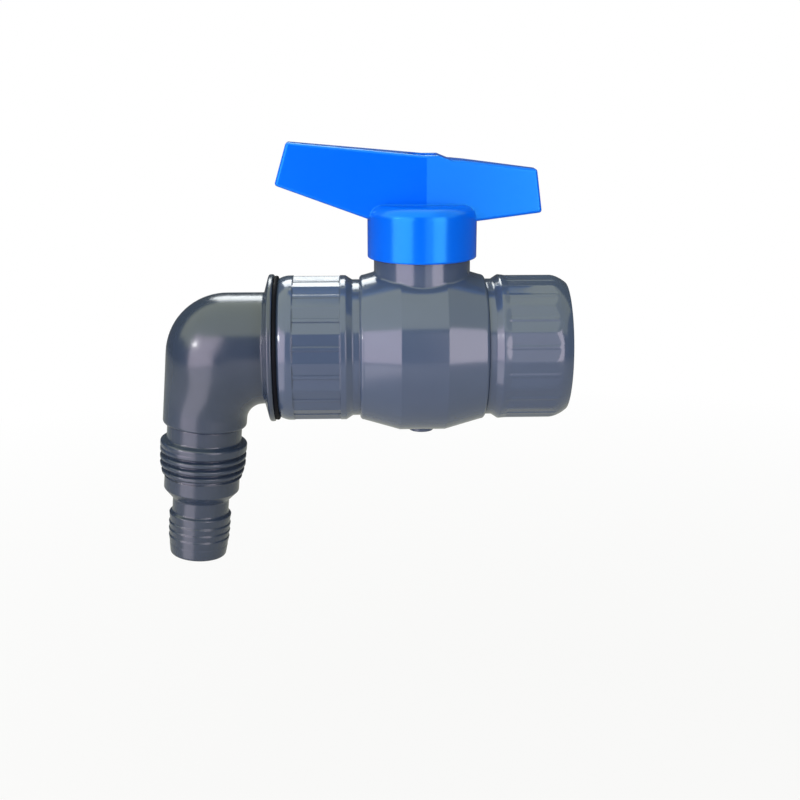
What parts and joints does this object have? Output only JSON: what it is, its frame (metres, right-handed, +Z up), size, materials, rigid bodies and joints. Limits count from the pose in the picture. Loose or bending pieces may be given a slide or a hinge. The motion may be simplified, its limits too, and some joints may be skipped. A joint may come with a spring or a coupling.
{
  "type": "ball valve tap",
  "caption": "Plastic quarter-turn ball valve tap with a winged lever handle, a threaded inlet socket and a flanged elbow that ends in a hose thread and a barbed hose tail.",
  "frame": {"origin": "centre of the inlet socket's mouth, where a supply pipe's fitting stops", "axes": "+X out of the inlet socket along the water way, +Z up along the stem towards the handle, +Y to the far side of the pictured view"},
  "size_m": [0.1262, 0.0509, 0.1297],
  "materials": {
    "grey_plastic": "glossy slate-grey moulded plastic",
    "dark_grey_plastic": "satin dark slate-grey moulded plastic",
    "blue_plastic": "satin bright blue moulded plastic",
    "black_rubber": "matt black rubber",
    "seat_white": "waxy white fluoroplastic",
    "ball_plastic": "polished dark grey plastic",
    "steel": "plain stainless steel"
  },
  "bodies": {
    "valve": {"valve_body": "grey_plastic", "inlet_end": "grey_plastic", "elbow": "dark_grey_plastic", "outlet_nipple": "dark_grey_plastic", "inlet_seat": "seat_white", "outlet_seat": "seat_white", "stem_washer": "seat_white", "inlet_seat_o_ring": "black_rubber", "outlet_seat_o_ring": "black_rubber", "body_o_ring": "black_rubber", "nipple_o_ring": "black_rubber", "flange_gasket": "black_rubber"},
    "turning_set": {"handle": "blue_plastic", "stem": "ball_plastic", "ball": "ball_plastic", "handle_screw": "steel", "screw_washer": "steel", "screw_plug": "blue_plastic", "stem_o_ring_lower": "black_rubber", "stem_o_ring_upper": "black_rubber"}
  },
  "joints": [
    {"name": "handle_turn", "type": "hinge", "parent": "valve", "child": "turning_set", "pos_m": [-0.0442, 0, 0.03], "axis": [0, 0, 1], "range_deg": [-90, 0]}
  ]
}
